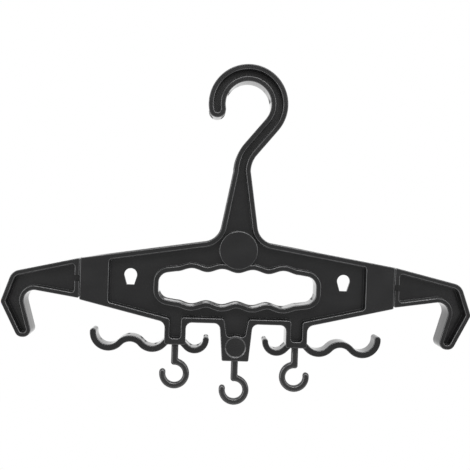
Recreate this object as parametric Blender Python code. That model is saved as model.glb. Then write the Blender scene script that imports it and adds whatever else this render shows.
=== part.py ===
"""Multi-purpose gear hanger, moulded in plastic: one ribbed body with a rail hook, a hand slot and
fixed side hooks, two plug-in end arms, and three small hooks that swivel in its underside.

Metres, +Z up, X along the wings, front face towards -Y. The row's origin is the point where the
rail hook bears on its rail. Outlines are drawn in X and Z from the middle of the big disc.
"""
import math

import bmesh
import bpy

MM = 0.001

# Whole body moulding
BODY_DEPTH = 20.0 * MM
WEB_DEPTH = 3.0 * MM
RIM_WIDTH = 5.1 * MM
RIM_EDGE = 1.3 * MM
LIP_EDGE = 0.7 * MM
POCKET_DRAFT = 0.35 * MM
FACET_DEPTH = 0.11 * MM
PIECE_GAP = 0.3 * MM
OVERRUN = 2.0 * MM
EDGE_STEPS = 2
SHARP_ANGLE = math.radians(40.0)

# Rail hook and neck
HOOK_OFFSET = 4.9 * MM
HOOK_HEIGHT = 143.2 * MM
HOOK_RADIUS = 30.6 * MM
HOOK_HALF = 8.4 * MM
HOOK_BREAK_ANGLE = math.radians(-39.2)
HOOK_TIP_ANGLE = math.radians(190.7)
NECK_BEND_RADIUS = 34.2 * MM
NECK_TOP_OFFSET = 1.0 * MM
NECK_FOOT_HALF = 20.0 * MM
NECK_FOOT_HEIGHT = 9.7 * MM
NECK_FILLET = 18.2 * MM

# Hand slot with finger waves; its middle is below the disc's centre
SLOT_DROP = 37.15 * MM
SLOT_HALF_HEIGHT = 16.5 * MM
SLOT_END_RUN = 17.15 * MM
SLOT_END_HALF_HEIGHT = 12.15 * MM
SLOT_END_ROUND = 10.1 * MM
WAVE_PITCH = 30.0 * MM
WAVE_HEIGHT = 1.75 * MM
WAVE_PERIODS = 4
WAVE_STEPS = 8

# Wings: half length, and the corners of the open end below the disc's centre
WING_HALF = 154.3 * MM
MOUTH_TOP_DROP = 12.0 * MM
MOUTH_FOOT_DROP = 52.9 * MM
MOUTH_ROUND = 1.6 * MM
LOWER_WEB = 6.7 * MM
WING_FOOT_STEP = 0.4 * MM

# Branches and middle block, which stand under the wings
BRANCH_INNER = 49.1 * MM
BRANCH_WIDTH = 21.1 * MM
BRANCH_LENGTH = 22.1 * MM
BRANCH_ROUND = 6.9 * MM
BRANCH_FOOT_ROUND = 2.0 * MM
CUTOUT_ROUND = 5.8 * MM
BLOCK_TOP_HALF = 16.3 * MM
BLOCK_FOOT_HALF = 13.15 * MM
BLOCK_LENGTH = 36.7 * MM
BLOCK_SOLID = 24.1 * MM
BLOCK_ROUND = 1.3 * MM

# Recess in both faces of the body, and the keyholes through its web
POCKET_ROUND = 3.0 * MM
KEYHOLE_PLACE_SHARE = 0.534
KEYHOLE_DROP = 27.7 * MM
KEYHOLE_RADIUS = 6.3 * MM
KEYHOLE_FOOT_HALF = 3.6 * MM
KEYHOLE_FOOT_DROP = 9.8 * MM
KEYHOLE_SHOULDER_ANGLE = math.radians(-20.0)

# Round boss over the neck's foot, and the pad and dish on the middle block
DISC_RADIUS = 18.9 * MM
DISC_RISE = 0.45 * MM
DISC_EDGE = 0.8 * MM
PAD_RADIUS = 11.5 * MM
PAD_MARGIN = 2.2 * MM
PAD_SINK = 0.2 * MM
DISH_RADIUS = 10.6 * MM
DISH_DEPTH = 0.9 * MM
DISH_FLOOR_RADIUS = 9.1 * MM

# Fixed side hooks of the body, placed from the branch that carries them
SIDE_HOOK_DEPTH = 16.0 * MM
SIDE_HOOK_EDGE = 1.4 * MM
WAVY_HALF = 3.2 * MM
WAVY_RADIUS = 15.0 * MM
CREST_RADIUS = 14.1 * MM
WAVY_START = 11.85 * MM
WAVY_PITCH = 43.15 * MM
WAVY_RISE = 9.9 * MM
WAVY_ROOT_ANGLE = math.radians(-135.0)
WAVY_TIP_ANGLE = math.radians(2.2)
CURL_HALF = 3.05 * MM
CURL_RADIUS = 11.2 * MM
CURL_START = 8.7 * MM
CURL_RISE = 5.8 * MM
CURL_ROOT_ANGLE = math.radians(-45.0)
CURL_TIP_ANGLE = math.radians(-177.7)
ROOT_RUN = 7.5 * MM

# Sleeve in each wing end, which takes an arm's tongue
SLEEVE_ZONE = 28.3 * MM
SLEEVE_END_WALL = 2.9 * MM
SLEEVE_SIDE_WALL = 5.0 * MM
SLEEVE_FACE_WALL = 2.8 * MM

# End arms, measured out from their flange and down from its top corner
ARM_FACE_STEP = 0.4 * MM
ARM_FOOT_STEP = 1.25 * MM
ARM_RIM = 4.6 * MM
ARM_FLANGE = 5.0 * MM
ARM_ROOT_ROUND = 1.2 * MM
SHOULDER_REACH = 66.0 * MM
SHOULDER_FALL = 15.35 * MM
SHOULDER_ROUND = 12.1 * MM
KNEE_REACH = 76.5 * MM
KNEE_FALL = 45.1 * MM
KNEE_ROUND = 4.0 * MM
TIP_OUTER_REACH = 59.1 * MM
TIP_INNER_REACH = 43.9 * MM
TIP_FALL = 79.4 * MM
TIP_ROUND = 7.2 * MM
CROOK_REACH = 57.5 * MM
CROOK_RISE = 8.8 * MM
CROOK_ROUND = 10.1 * MM
ARM_POCKET_ROUND = 2.6 * MM
NOTCH_HEIGHT = 6.0 * MM
NOTCH_DEPTH = 5.0 * MM

# Tongue on each arm
TONGUE_END_CLEARANCE = 1.2 * MM
TONGUE_WALL = 3.0 * MM
TONGUE_LEAD = 2.0 * MM
TONGUE_EDGE = 0.6 * MM

# Swivel hooks, drawn from the housing's underside on their own axis
SWIVEL_RING_DROP = 30.25 * MM
SWIVEL_RING_RADIUS = 11.8 * MM
SWIVEL_RING_HALF = 3.2 * MM
SWIVEL_STEM_HALF = 3.5 * MM
SWIVEL_DEPTH = 6.3 * MM
SWIVEL_EDGE = 2.3 * MM
SWIVEL_HEEL_RISE = 9.6 * MM
SWIVEL_HEEL_ROUND = 1.6 * MM
SWIVEL_THROAT_ROUND = 1.8 * MM
SWIVEL_TIP_ANGLE = math.radians(-187.2)
SWIVEL_INNER_START = math.radians(97.0)
SPIGOT_RADIUS = 2.5 * MM
SPIGOT_ROOT = 1.5 * MM
HEAD_RADIUS = 4.0 * MM
HEAD_TOP_RADIUS = 2.8 * MM
HEAD_RIM = 0.9 * MM
HEAD_HEIGHT = 2.3 * MM
HEAD_SLIT = 1.1 * MM
HEAD_SLIT_FOOT = 0.3 * MM
SWIVEL_LIP = 2.3 * MM
SWIVEL_ROOF = 1.1 * MM
SWIVEL_CLEARANCE = 0.3 * MM
ROUND_SIDES = 20

# Where each swivel hook hangs: name, side of the axis (-1, 0 or 1) and the side it opens to
SWIVELS = (("left_swivel_hook", -1, -1), ("centre_swivel_hook", 0, -1), ("right_swivel_hook", 1, 1))

PLASTIC_COLOUR = (0.026, 0.026, 0.027, 1.0)
PLASTIC_ROUGHNESS = 0.42

# The rail bears on the hook's inner side, straight above the axis of symmetry
HOOK_INNER_RADIUS = HOOK_RADIUS - HOOK_HALF
RAIL_HEIGHT = HOOK_HEIGHT + math.sqrt(HOOK_INNER_RADIUS ** 2 - HOOK_OFFSET ** 2)

# Where the hook's big arc ends, and the neck's top that its straight run and lower bend lead to
BREAK_X = HOOK_OFFSET + HOOK_RADIUS * math.cos(HOOK_BREAK_ANGLE)
BREAK_HEIGHT = HOOK_HEIGHT + HOOK_RADIUS * math.sin(HOOK_BREAK_ANGLE)
NECK_RUN = ((BREAK_X - NECK_TOP_OFFSET - NECK_BEND_RADIUS * (1 - math.cos(HOOK_BREAK_ANGLE)))
            / math.sin(-HOOK_BREAK_ANGLE))
NECK_TOP_HEIGHT = (BREAK_HEIGHT - NECK_RUN * math.cos(HOOK_BREAK_ANGLE)
                   + NECK_BEND_RADIUS * math.sin(HOOK_BREAK_ANGLE))

# Places that follow from the sizes above
SLOT_HALF = WAVE_PERIODS * WAVE_PITCH / 2 + SLOT_END_RUN
CUTOUT_DROP = SLOT_DROP + SLOT_HALF_HEIGHT + WAVE_HEIGHT + RIM_WIDTH + LOWER_WEB + RIM_WIDTH
WING_FOOT_DROP = CUTOUT_DROP + WING_FOOT_STEP
BRANCH_OUTER = BRANCH_INNER + BRANCH_WIDTH
BRANCH_MIDDLE = BRANCH_INNER + BRANCH_WIDTH / 2
BRANCH_DROP = CUTOUT_DROP + BRANCH_LENGTH
BLOCK_DROP = CUTOUT_DROP + BLOCK_LENGTH
PAD_DROP = BLOCK_DROP - PAD_RADIUS - PAD_MARGIN
CHAMBER_TOP = SWIVEL_LIP + 2 * PIECE_GAP + HEAD_HEIGHT
POCKET_HALF = WING_HALF - SLEEVE_ZONE
POCKET_BRANCH_DROP = BRANCH_DROP - CHAMBER_TOP - SWIVEL_ROOF
POCKET_BLOCK_DROP = BLOCK_DROP - BLOCK_SOLID
SLOT_RIM_HALF = SLOT_HALF + RIM_WIDTH
KEYHOLE_OFFSET = SLOT_RIM_HALF + KEYHOLE_PLACE_SHARE * (POCKET_HALF - SLOT_RIM_HALF)
SLEEVE_HALF_DEPTH = BODY_DEPTH / 2 - SLEEVE_FACE_WALL
SLEEVE_TOP_DROP = MOUTH_TOP_DROP + SLEEVE_SIDE_WALL
SLEEVE_FOOT_DROP = MOUTH_FOOT_DROP - SLEEVE_SIDE_WALL
SLEEVE_START = POCKET_HALF + SLEEVE_END_WALL
ARM_START = WING_HALF + PIECE_GAP
ARM_DEPTH = BODY_DEPTH - 2 * ARM_FACE_STEP
ARM_FOOT_DROP = MOUTH_FOOT_DROP - ARM_FOOT_STEP
NOTCH_MIDDLE_DROP = (MOUTH_TOP_DROP + ARM_FOOT_DROP) / 2


def clear_scene():
    for old in list(bpy.data.objects):
        bpy.data.objects.remove(old, do_unlink=True)


def plastic(name):
    material = bpy.data.materials.new(name)
    material.use_nodes = True
    shader = material.node_tree.nodes["Principled BSDF"]
    shader.inputs["Base Color"].default_value = PLASTIC_COLOUR
    shader.inputs["Roughness"].default_value = PLASTIC_ROUGHNESS
    shader.inputs["Metallic"].default_value = 0.0
    return material


# Plane geometry: a loop is a list of (x, z) points that runs counter-clockwise seen from the front

def arc_count(radius, angle):
    """How many chords keep an arc within the named facet depth."""
    step = 2 * math.acos(max(0.0, 1 - FACET_DEPTH / radius)) if radius > FACET_DEPTH else math.pi / 2
    return max(1, math.ceil(abs(angle) / step))


def mirrored(points):
    return [(-x, z) for x, z in reversed(points)]


def shifted(points, x_move, z_move):
    return [(x + x_move, z + z_move) for x, z in points]


def offset_path(points, distance, closed=True):
    """Move every side of a path to its right by a distance, keeping the corners mitred."""
    count = len(points)
    moved = []
    for index, (x, z) in enumerate(points):
        normals = []
        for first, second in ((index - 1, index), (index, index + 1)):
            if not closed and (first < 0 or second >= count):
                continue
            x_one, z_one = points[first % count]
            x_two, z_two = points[second % count]
            length = math.hypot(x_two - x_one, z_two - z_one)
            normals.append(((z_two - z_one) / length, (x_one - x_two) / length))
        x_sum = sum(normal[0] for normal in normals)
        z_sum = sum(normal[1] for normal in normals)
        reach = distance * len(normals) / (x_sum ** 2 + z_sum ** 2)
        moved.append((x + x_sum * reach, z + z_sum * reach))
    return moved


def rounded(corners, closed=True):
    """Turn (x, z, radius) corners into a path whose corners are arcs of those radii."""
    count = len(corners)
    path = []
    for index, (x, z, radius) in enumerate(corners):
        at_end = not closed and index in (0, count - 1)
        if radius <= 0 or at_end:
            path.append((x, z))
            continue
        x_back, z_back, _ = corners[index - 1]
        x_next, z_next, _ = corners[(index + 1) % count]
        back = math.atan2(z - z_back, x - x_back)
        ahead = math.atan2(z_next - z, x_next - x)
        turn = math.remainder(ahead - back, 2 * math.pi)
        side = math.copysign(1.0, turn)
        run = radius * math.tan(abs(turn) / 2)
        x_centre = x - run * math.cos(back) - side * radius * math.sin(back)
        z_centre = z - run * math.sin(back) + side * radius * math.cos(back)
        chords = arc_count(radius, turn)
        for step in range(chords + 1):
            angle = back - side * math.pi / 2 + turn * step / chords
            path.append((x_centre + radius * math.cos(angle), z_centre + radius * math.sin(angle)))
    return path


def arc_path(x_centre, z_centre, radius, start, end, side, count=None):
    """Points of an arc, each with the unit normal to the right of the way it runs.

    The side is 1 where the arc runs counter-clockwise, so that its right is its outside.
    """
    chords = count or arc_count(radius, end - start)
    path = []
    for step in range(chords + 1):
        angle = start + (end - start) * step / chords
        x_unit = math.cos(angle)
        z_unit = math.sin(angle)
        path.append((x_centre + radius * x_unit, z_centre + radius * z_unit, side * x_unit, side * z_unit))
    return path


def beside(path, distance):
    return [(x + x_normal * distance, z + z_normal * distance) for x, z, x_normal, z_normal in path]


def round_end(path, half):
    """The half circle round the last point of a path, from its right side to its left side."""
    x, z, x_normal, z_normal = path[-1]
    start = math.atan2(z_normal, x_normal)
    chords = arc_count(half, math.pi)
    points = []
    for step in range(1, chords):
        angle = start + math.pi * step / chords
        points.append((x + half * math.cos(angle), z + half * math.sin(angle)))
    return points


def band(path, half):
    """The outline of a bar of constant width along a path, square at its start, round at its end."""
    return beside(path, half) + round_end(path, half) + list(reversed(beside(path, -half)))


def circle(x_centre, z_centre, radius):
    chords = arc_count(radius, 2 * math.pi)
    points = []
    for step in range(chords):
        angle = 2 * math.pi * step / chords
        points.append((x_centre + radius * math.cos(angle), z_centre + radius * math.sin(angle)))
    return points


# Solids

def quarter_round(face_offset, wall_offset, face_y, wall_y, steps):
    """(offset, y) pairs that turn from a flat face into the wall beside it."""
    pairs = []
    for step in range(steps + 1):
        angle = math.pi / 2 * step / steps
        pairs.append((
            face_offset + (wall_offset - face_offset) * math.sin(angle),
            wall_y + (face_y - wall_y) * math.cos(angle),
        ))
    return pairs


def rings(mesh, loop, pairs):
    """One ring of vertices for each (offset, y) pair, joined by strips of faces."""
    made = []
    for offset, y in pairs:
        made.append([mesh.verts.new((x, y, z)) for x, z in offset_path(loop, offset)])
    for low, high in zip(made, made[1:]):
        for index in range(len(low)):
            following = (index + 1) % len(low)
            mesh.faces.new((low[index], low[following], high[following], high[index]))
    return made


def fill(mesh, boundary_rings):
    """Fill the flat region between an outer ring and the rings of its holes."""
    edges = []
    for ring in boundary_rings:
        for index, vertex in enumerate(ring):
            pair = (vertex, ring[(index + 1) % len(ring)])
            edges.append(mesh.edges.get(pair) or mesh.edges.new(pair))
    bmesh.ops.triangle_fill(mesh, use_beauty=True, use_dissolve=False, edges=edges)


def moulding(outline, depth, edge, holes=(), pockets=(), steps=EDGE_STEPS):
    """A plate with round edges, lying in the X and Z plane with its mid-plane at y = 0.

    Each hole goes through the full depth. Each pocket is (loop, islands, web holes): it is sunk in
    both faces down to the web, an island is (loop, its holes) and stands up to the face again.
    """
    mesh = bmesh.new()
    half = depth / 2
    web = WEB_DEPTH / 2

    def through(loop, sign, reach, curve):
        front = quarter_round(sign * curve, 0.0, -reach, curve - reach, steps) if curve else [(0.0, -reach)]
        back = [(offset, -y) for offset, y in reversed(front)]
        made = rings(mesh, loop, front + back)
        return made[0], made[-1]

    outer_ends = through(outline, -1, half, edge)
    hole_ends = [through(loop, 1, half, edge) for loop in holes]
    pocket_parts = []
    for loop, islands, web_holes in pockets:
        web_ends = [through(web_loop, 1, web, 0.0) for web_loop in web_holes]
        island_holes = [[through(inner, 1, half, edge) for inner in inners] for _, inners in islands]
        pocket_parts.append((loop, islands, web_ends, island_holes))

    for end, way in ((0, -1), (1, 1)):
        face_rings = [outer_ends[end]] + [ends[end] for ends in hole_ends]
        for loop, islands, web_ends, island_holes in pocket_parts:
            pairs = quarter_round(LIP_EDGE, 0.0, way * half, way * (half - LIP_EDGE), 1)
            pairs.append((-POCKET_DRAFT, way * web))
            made = rings(mesh, loop, pairs)
            face_rings.append(made[0])
            floor_rings = [made[-1]] + [ends[end] for ends in web_ends]
            for (island, _), inner_ends in zip(islands, island_holes):
                raised = rings(mesh, island, [(-offset, y) for offset, y in pairs])
                floor_rings.append(raised[-1])
                fill(mesh, [raised[0]] + [ends[end] for ends in inner_ends])
            fill(mesh, floor_rings)
        fill(mesh, face_rings)
    return mesh


def turned(profile, sides=ROUND_SIDES):
    """A solid of revolution about Z from (radius, z) points, lowest first, closed on the axis."""
    mesh = bmesh.new()
    rows = []
    for radius, z in profile:
        row = []
        for step in range(sides):
            angle = 2 * math.pi * step / sides
            row.append(mesh.verts.new((radius * math.cos(angle), radius * math.sin(angle), z)))
        rows.append(row)
    for low, high in zip(rows, rows[1:]):
        for index in range(sides):
            following = (index + 1) % sides
            mesh.faces.new((low[index], low[following], high[following], high[index]))
    mesh.faces.new(rows[0])
    mesh.faces.new(rows[-1])
    return mesh


def block(x_low, x_high, y_low, y_high, z_low, z_high):
    mesh = bmesh.new()
    bmesh.ops.create_cube(mesh, size=1.0)
    for vertex in mesh.verts:
        vertex.co.x = x_high if vertex.co.x > 0 else x_low
        vertex.co.y = y_high if vertex.co.y > 0 else y_low
        vertex.co.z = z_high if vertex.co.z > 0 else z_low
    return mesh


def make_object(name, mesh, parent=None, location=(0.0, 0.0, 0.0), material=None):
    bmesh.ops.recalc_face_normals(mesh, faces=mesh.faces)
    data = bpy.data.meshes.new(name)
    mesh.to_mesh(data)
    mesh.free()
    data.shade_smooth()
    data.set_sharp_from_angle(angle=SHARP_ANGLE)
    made = bpy.data.objects.new(name, data)
    bpy.context.scene.collection.objects.link(made)
    made.parent = parent
    made.location = location
    if material:
        data.materials.append(material)
    return made


def combine(target, name, mesh, operation, location=(0.0, 0.0, 0.0)):
    """Add a helper solid, in the target's own frame, and join it or cut it with a Boolean."""
    helper = make_object(name, mesh, parent=target, location=location)
    helper.hide_render = True
    helper.display_type = "WIRE"
    modifier = target.modifiers.new(name, "BOOLEAN")
    modifier.operation = operation
    modifier.solver = "EXACT"
    modifier.object = helper


# Outlines of the body

def hook_path():
    """The middle line of the rail hook, from the neck's top up, over and down to its tip."""
    bend_x = NECK_TOP_OFFSET + NECK_BEND_RADIUS
    bend_end = math.pi + HOOK_BREAK_ANGLE
    lower = arc_path(bend_x, NECK_TOP_HEIGHT, NECK_BEND_RADIUS, math.pi, bend_end, -1)
    chords = arc_count(HOOK_RADIUS + HOOK_HALF, HOOK_TIP_ANGLE - HOOK_BREAK_ANGLE)
    upper = arc_path(HOOK_OFFSET, HOOK_HEIGHT, HOOK_RADIUS, HOOK_BREAK_ANGLE, HOOK_TIP_ANGLE, 1, chords)
    return lower + upper


def body_side(inset, neck_half, wing_half, branch_drop, block_drop, rounds):
    """The right side of the body's outline, from the block's foot out and up to the neck's top."""
    neck_round, mouth_round, wing_round, foot_round, cutout_round, block_round = rounds
    corners = [
        (0.0, -block_drop, 0.0),
        (BLOCK_FOOT_HALF, -block_drop, block_round),
        (BLOCK_TOP_HALF, -CUTOUT_DROP, cutout_round),
        (BRANCH_INNER, -CUTOUT_DROP, cutout_round),
        (BRANCH_INNER, -branch_drop, foot_round),
        (BRANCH_OUTER, -branch_drop, foot_round),
        (BRANCH_OUTER, -WING_FOOT_DROP, wing_round),
        (wing_half, wing_line(wing_half, WING_FOOT_DROP, BRANCH_OUTER, MOUTH_FOOT_DROP), mouth_round),
        (wing_half, wing_line(wing_half, -NECK_FOOT_HEIGHT, NECK_FOOT_HALF, MOUTH_TOP_DROP), mouth_round),
        (NECK_FOOT_HALF, NECK_FOOT_HEIGHT, neck_round),
        (neck_half, NECK_TOP_HEIGHT, 0.0),
    ]
    places = offset_path([(x, z) for x, z, _ in corners], -inset, closed=False)
    return rounded([(x, z, radius) for (x, z), (_, _, radius) in zip(places, corners)], closed=False)[1:-1]


def body_loop(inset, *places_and_rounds):
    """The body's outline, or one set in from it, with the wing ends and feet at the places given.

    The neck's top stands a little to the right, so the two sides differ above its foot.
    """
    right = body_side(inset, HOOK_HALF + NECK_TOP_OFFSET, *places_and_rounds)
    left = body_side(inset, HOOK_HALF - NECK_TOP_OFFSET, *places_and_rounds)
    path = hook_path()
    half = HOOK_HALF - inset
    hook = beside(path, half) + round_end(path, half) + list(reversed(beside(path, -half)))
    return right + hook + mirrored(left)


def wing_line(x, root_drop, root_offset, mouth_drop):
    """Height of a wing's straight edge at x, through its root and its corner at the mouth."""
    return -root_drop + (root_drop - mouth_drop) * (x - root_offset) / (WING_HALF - root_offset)


def body_outline():
    rounds = (NECK_FILLET, MOUTH_ROUND, BRANCH_ROUND, BRANCH_FOOT_ROUND, CUTOUT_ROUND, BLOCK_ROUND)
    return body_loop(0.0, WING_HALF, BRANCH_DROP, BLOCK_DROP, rounds)


def pocket_outline():
    rounds = (NECK_FILLET + RIM_WIDTH,) + (POCKET_ROUND,) * 5
    return body_loop(RIM_WIDTH, POCKET_HALF + RIM_WIDTH, POCKET_BRANCH_DROP + RIM_WIDTH,
                     POCKET_BLOCK_DROP + RIM_WIDTH, rounds)


def slot_outline():
    """The hand slot: finger waves along both long edges and round corners at both ends."""
    span = WAVE_PERIODS * WAVE_PITCH
    total = WAVE_PERIODS * WAVE_STEPS
    upper = []
    for step in range(total + 1):
        x = span / 2 - span * step / total
        upper.append((x, SLOT_HALF_HEIGHT - WAVE_HEIGHT * math.cos(2 * math.pi * x / WAVE_PITCH), 0.0))
    left_end = [
        (-SLOT_HALF, SLOT_END_HALF_HEIGHT, SLOT_END_ROUND),
        (-SLOT_HALF, -SLOT_END_HALF_HEIGHT, SLOT_END_ROUND),
    ]
    lower = [(-x, -z, 0.0) for x, z, _ in upper]
    right_end = [(-x, -z, radius) for x, z, radius in left_end]
    return shifted(rounded(upper + left_end + lower + right_end), 0.0, -SLOT_DROP)


def keyhole_outline():
    crown = arc_path(0.0, 0.0, KEYHOLE_RADIUS, KEYHOLE_SHOULDER_ANGLE, math.pi - KEYHOLE_SHOULDER_ANGLE, 1)
    foot = [(-KEYHOLE_FOOT_HALF, -KEYHOLE_FOOT_DROP), (KEYHOLE_FOOT_HALF, -KEYHOLE_FOOT_DROP)]
    return [(x, z) for x, z, _, _ in crown] + foot


def wavy_outline():
    """The double hook outside each branch: a low arc, a crest and a second low arc up to the tip."""
    reach = WAVY_RADIUS + CREST_RADIUS
    x_first = BRANCH_OUTER + WAVY_START
    z_low = WAVY_RISE - BRANCH_DROP
    z_crest = z_low - math.sqrt(reach ** 2 - (WAVY_PITCH / 2) ** 2)
    lean = math.acos(WAVY_PITCH / 2 / reach)
    first = arc_path(x_first, z_low, WAVY_RADIUS, WAVY_ROOT_ANGLE, -lean, 1)
    crest = arc_path(x_first + WAVY_PITCH / 2, z_crest, CREST_RADIUS, math.pi - lean, lean, -1)
    last = arc_path(x_first + WAVY_PITCH, z_low, WAVY_RADIUS, lean - math.pi, WAVY_TIP_ANGLE, 1)
    return band(root_run(first[0]) + first + crest[1:] + last[1:], WAVY_HALF)


def curl_outline():
    """The small hook inside each branch: one arc from the branch's foot to a tip that points up."""
    x_centre = BRANCH_INNER - CURL_START
    z_centre = CURL_RISE - BRANCH_DROP
    arc = arc_path(x_centre, z_centre, CURL_RADIUS, CURL_ROOT_ANGLE, CURL_TIP_ANGLE, -1)
    return band(root_run(arc[0]) + arc, CURL_HALF)


def root_run(start):
    """A point before the start of a path, so that its bar runs straight on into the branch."""
    x, z, x_normal, z_normal = start
    return [(x + z_normal * ROOT_RUN, z - x_normal * ROOT_RUN, x_normal, z_normal)]


# Pieces

def make_body():
    slot = slot_outline()
    island = (offset_path(slot, RIM_WIDTH), [slot])
    keyholes = [shifted(keyhole_outline(), side * KEYHOLE_OFFSET, -KEYHOLE_DROP) for side in (-1, 1)]
    mesh = moulding(body_outline(), BODY_DEPTH, RIM_EDGE, pockets=[(pocket_outline(), [island], keyholes)])
    origin = (0.0, 0.0, -RAIL_HEIGHT)
    body = make_object("hanger_body", mesh, location=origin, material=plastic("body_plastic"))

    disc = moulding(circle(0.0, 0.0, DISC_RADIUS), BODY_DEPTH + 2 * DISC_RISE, DISC_EDGE)
    combine(body, "disc_boss", disc, "UNION")
    pad = moulding(circle(0.0, 0.0, PAD_RADIUS), BODY_DEPTH - 2 * PAD_SINK, LIP_EDGE)
    combine(body, "block_pad", pad, "UNION", location=(0.0, 0.0, -PAD_DROP))
    for name, outline in (("wavy_hook", wavy_outline()), ("curled_hook", curl_outline())):
        for side, loop in (("left", mirrored(outline)), ("right", outline)):
            combine(body, side + "_" + name, moulding(loop, SIDE_HOOK_DEPTH, SIDE_HOOK_EDGE), "UNION")

    cut_dish(body)
    for name, side, _ in SWIVELS:
        x, housing_drop = swivel_place(side)
        combine(body, name + "_bore", swivel_bore(), "DIFFERENCE", location=(x, 0.0, -housing_drop))
    for name, side in (("left_sleeve_bore", -1), ("right_sleeve_bore", 1)):
        x_low, x_high = sorted((side * SLEEVE_START, side * (WING_HALF + OVERRUN)))
        half = SLEEVE_HALF_DEPTH
        bore = block(x_low, x_high, -half, half, -SLEEVE_FOOT_DROP, -SLEEVE_TOP_DROP)
        combine(body, name, bore, "DIFFERENCE")
    return body


def cut_dish(body):
    """The shallow round dish in the front of the middle block."""
    cutter = turned([
        (DISH_FLOOR_RADIUS, -DISH_DEPTH),
        (DISH_RADIUS, 0.0),
        (DISH_RADIUS, OVERRUN),
    ], sides=2 * ROUND_SIDES)
    for vertex in cutter.verts:
        vertex.co.y, vertex.co.z = -vertex.co.z, vertex.co.y
    combine(body, "dish", cutter, "DIFFERENCE", location=(0.0, -BODY_DEPTH / 2, -PAD_DROP))


def swivel_place(side):
    """Where a swivel hook's axis is, and how far its housing's underside is below the disc."""
    return side * BRANCH_MIDDLE, BRANCH_DROP if side else BLOCK_DROP


def swivel_bore():
    """A mouth for the spigot under a wider chamber for its head, from the housing's underside up."""
    mouth = SPIGOT_RADIUS + SWIVEL_CLEARANCE
    chamber = HEAD_RADIUS + SWIVEL_CLEARANCE
    return turned([(mouth, -OVERRUN), (mouth, SWIVEL_LIP), (chamber, SWIVEL_LIP), (chamber, CHAMBER_TOP)])


def arm_outlines():
    """The right arm's outline and its pocket, which keeps the rim's width all round."""
    tip_z = -MOUTH_TOP_DROP - TIP_FALL
    corners = [
        (ARM_START, -ARM_FOOT_DROP, ARM_ROOT_ROUND),
        (ARM_START + CROOK_REACH, CROOK_RISE - ARM_FOOT_DROP, CROOK_ROUND),
        (ARM_START + TIP_INNER_REACH, tip_z, TIP_ROUND),
        (ARM_START + TIP_OUTER_REACH, tip_z, TIP_ROUND),
        (ARM_START + KNEE_REACH, -MOUTH_TOP_DROP - KNEE_FALL, KNEE_ROUND),
        (ARM_START + SHOULDER_REACH, -MOUTH_TOP_DROP - SHOULDER_FALL, SHOULDER_ROUND),
        (ARM_START, -MOUTH_TOP_DROP, ARM_ROOT_ROUND),
    ]
    places = offset_path([(x, z) for x, z, _ in corners], -ARM_RIM)
    rounds = (ARM_POCKET_ROUND, CROOK_ROUND + ARM_RIM, TIP_ROUND - ARM_RIM, TIP_ROUND - ARM_RIM,
              ARM_POCKET_ROUND, SHOULDER_ROUND - ARM_RIM, ARM_POCKET_ROUND)
    pocket = [(x, z, radius) for (x, z), radius in zip(places, rounds)]
    inner_x = ARM_START + ARM_FLANGE
    for index in (0, -1):
        pocket[index] = (inner_x, pocket[index][1], pocket[index][2])
    return rounded(corners), rounded(pocket)


def tongue_mesh():
    """The right arm's plug: a ribbed box section with a tapered nose, that fills the sleeve."""
    root = ARM_START + ARM_FLANGE / 2
    nose = SLEEVE_START + TONGUE_END_CLEARANCE
    top = -SLEEVE_TOP_DROP - PIECE_GAP
    foot = -SLEEVE_FOOT_DROP + PIECE_GAP
    outline = [
        (nose, foot + TONGUE_LEAD),
        (nose + TONGUE_LEAD, foot),
        (root, foot),
        (root, top),
        (nose + TONGUE_LEAD, top),
        (nose, top - TONGUE_LEAD),
    ]
    first = nose + TONGUE_WALL
    last = ARM_START - TONGUE_WALL
    middle = (first + last - TONGUE_WALL) / 2
    cells = []
    for low, high in ((first, middle), (middle + TONGUE_WALL, last)):
        cells.append(([(low, foot + TONGUE_WALL), (high, foot + TONGUE_WALL),
                       (high, top - TONGUE_WALL), (low, top - TONGUE_WALL)], [], []))
    return moulding(outline, 2 * (SLEEVE_HALF_DEPTH - PIECE_GAP), TONGUE_EDGE, pockets=cells, steps=1)


def make_arm(name, side, body):
    outline, pocket = arm_outlines()
    mesh = moulding(outline, ARM_DEPTH, RIM_EDGE, pockets=[(pocket, [], [])])
    flip(mesh, side)
    arm = make_object(name, mesh, parent=body, material=plastic(name + "_plastic"))
    tongue = tongue_mesh()
    flip(tongue, side)
    combine(arm, name + "_tongue", tongue, "UNION")
    for face in (-1, 1):
        y_low, y_high = sorted((face * (ARM_DEPTH / 2 - NOTCH_DEPTH), face * (ARM_DEPTH / 2 + OVERRUN)))
        x_low, x_high = sorted((side * (ARM_START - PIECE_GAP), side * (ARM_START + ARM_FLANGE + OVERRUN)))
        z_low = -NOTCH_MIDDLE_DROP - NOTCH_HEIGHT / 2
        notch = block(x_low, x_high, y_low, y_high, z_low, z_low + NOTCH_HEIGHT)
        combine(arm, name + ("_front_notch" if face < 0 else "_back_notch"), notch, "DIFFERENCE")
    return arm


def flip(mesh, side):
    """Turn a right-hand mesh into a left-hand one where the side is -1."""
    for vertex in mesh.verts:
        vertex.co.x *= side


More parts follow.
